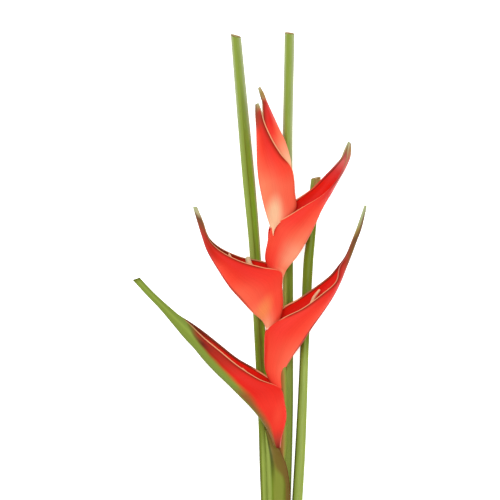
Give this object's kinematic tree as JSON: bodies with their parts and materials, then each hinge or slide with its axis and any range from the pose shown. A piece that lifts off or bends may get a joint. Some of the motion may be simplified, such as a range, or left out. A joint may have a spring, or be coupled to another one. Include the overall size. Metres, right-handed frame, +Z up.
{
  "type": "heliconia flower",
  "caption": "Cut stem of red heliconia lying down: pointed boat-shaped bracts spread in a flat fan from a zigzag stem, over long green leaf stalks.",
  "frame": {"origin": "middle of the object's footprint, on the surface that it lies on", "axes": "+Y along the stem from its cut lower end to the cut tops of the leaf stalks, +Z up from the surface, through the flat fan of bracts"},
  "size_m": [0.258, 0.574, 0.0379],
  "materials": {
    "bract_red": "satin",
    "stalk_green": "satin",
    "stem_olive": "satin",
    "floret_cream": "satin"
  },
  "bodies": {
    "root": {"bract_1": "bract_red", "bract_2": "bract_red", "bract_3": "bract_red", "bract_4": "bract_red", "bract_5": "bract_red", "bract_6": "bract_red", "floret_1": "floret_cream", "floret_2": "floret_cream", "floret_3": "floret_cream", "floret_4": "floret_cream", "flower_stem": "stem_olive", "left_stalk": "stalk_green", "middle_stalk": "stalk_green", "right_stalk": "stalk_green"}
  },
  "joints": []
}
